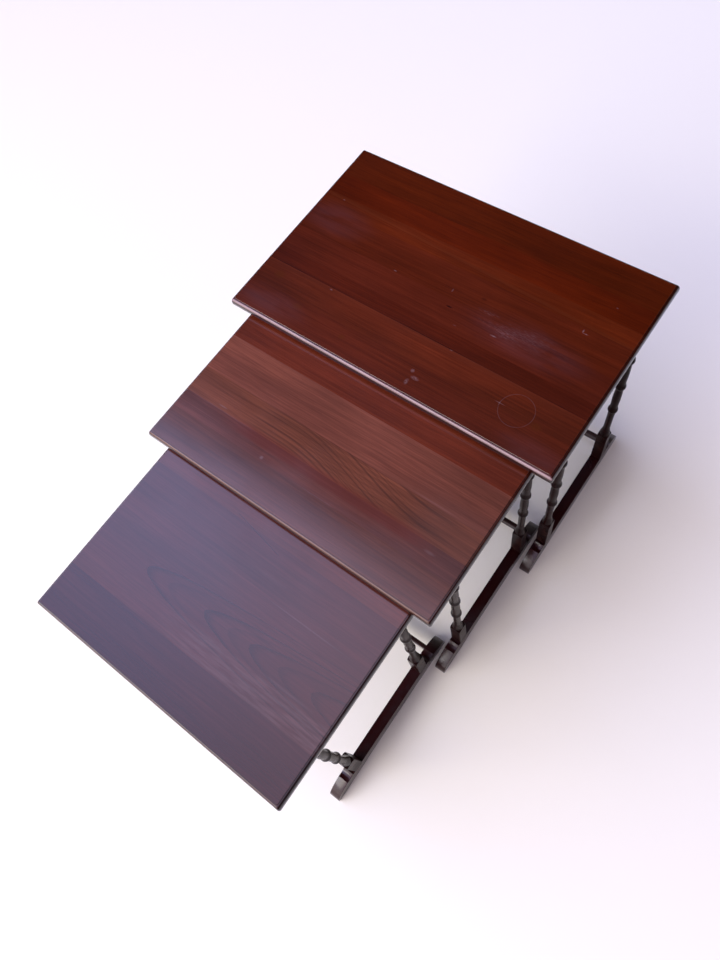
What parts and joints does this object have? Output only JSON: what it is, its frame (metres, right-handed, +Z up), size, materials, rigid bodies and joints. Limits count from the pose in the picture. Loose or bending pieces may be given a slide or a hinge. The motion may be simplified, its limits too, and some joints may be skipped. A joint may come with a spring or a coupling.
{
  "type": "nesting tables",
  "caption": "Nest of side tables in red-brown stained wood, with moulded tops, ring-turned legs, sledge feet and a low rear stretcher, the smaller ones drawn out like steps.",
  "frame": {"origin": "floor level, at the middle of the nest's footprint with the tables drawn out as at rest", "axes": "+X along a table's long side, +Y from the small table towards the large one, +Z up"},
  "size_m": [0.58, 0.902, 0.514],
  "materials": {
    "large_top": "gloss lacquer over red-brown stain",
    "medium_top": "gloss lacquer over red-brown stain",
    "small_top": "gloss lacquer over red-brown stain",
    "bearer": "satin stain",
    "leg": "gloss lacquer over red-brown stain",
    "foot": "gloss lacquer over red-brown stain",
    "stretcher": "gloss lacquer over red-brown stain",
    "screw": "plain zinc"
  },
  "bodies": {
    "large": {"large_top": "large_top", "large_bearer_left": "bearer", "large_bearer_right": "bearer", "large_leg_left_front": "leg", "large_leg_left_rear": "leg", "large_leg_right_front": "leg", "large_leg_right_rear": "leg", "large_foot_left": "foot", "large_foot_right": "foot", "large_stretcher": "stretcher", "large_screw_left_front": "screw", "large_screw_left_rear": "screw", "large_screw_right_front": "screw", "large_screw_right_rear": "screw"},
    "medium": {"medium_top": "medium_top", "medium_bearer_left": "bearer", "medium_bearer_right": "bearer", "medium_leg_left_front": "leg", "medium_leg_left_rear": "leg", "medium_leg_right_front": "leg", "medium_leg_right_rear": "leg", "medium_foot_left": "foot", "medium_foot_right": "foot", "medium_stretcher": "stretcher", "medium_screw_left_front": "screw", "medium_screw_left_rear": "screw", "medium_screw_right_front": "screw", "medium_screw_right_rear": "screw"},
    "small": {"small_top": "small_top", "small_bearer_left": "bearer", "small_bearer_right": "bearer", "small_leg_left_front": "leg", "small_leg_left_rear": "leg", "small_leg_right_front": "leg", "small_leg_right_rear": "leg", "small_foot_left": "foot", "small_foot_right": "foot", "small_stretcher": "stretcher", "small_screw_left_front": "screw", "small_screw_left_rear": "screw", "small_screw_right_front": "screw", "small_screw_right_rear": "screw"}
  },
  "joints": [
    {"name": "medium_slide", "type": "slide", "parent": "large", "child": "medium", "axis": [0, 1, 0], "range_m": [-0.12, 0.2155]},
    {"name": "small_slide", "type": "slide", "parent": "medium", "child": "small", "axis": [0, 1, 0], "range_m": [-0.08, 0.2565]}
  ]
}
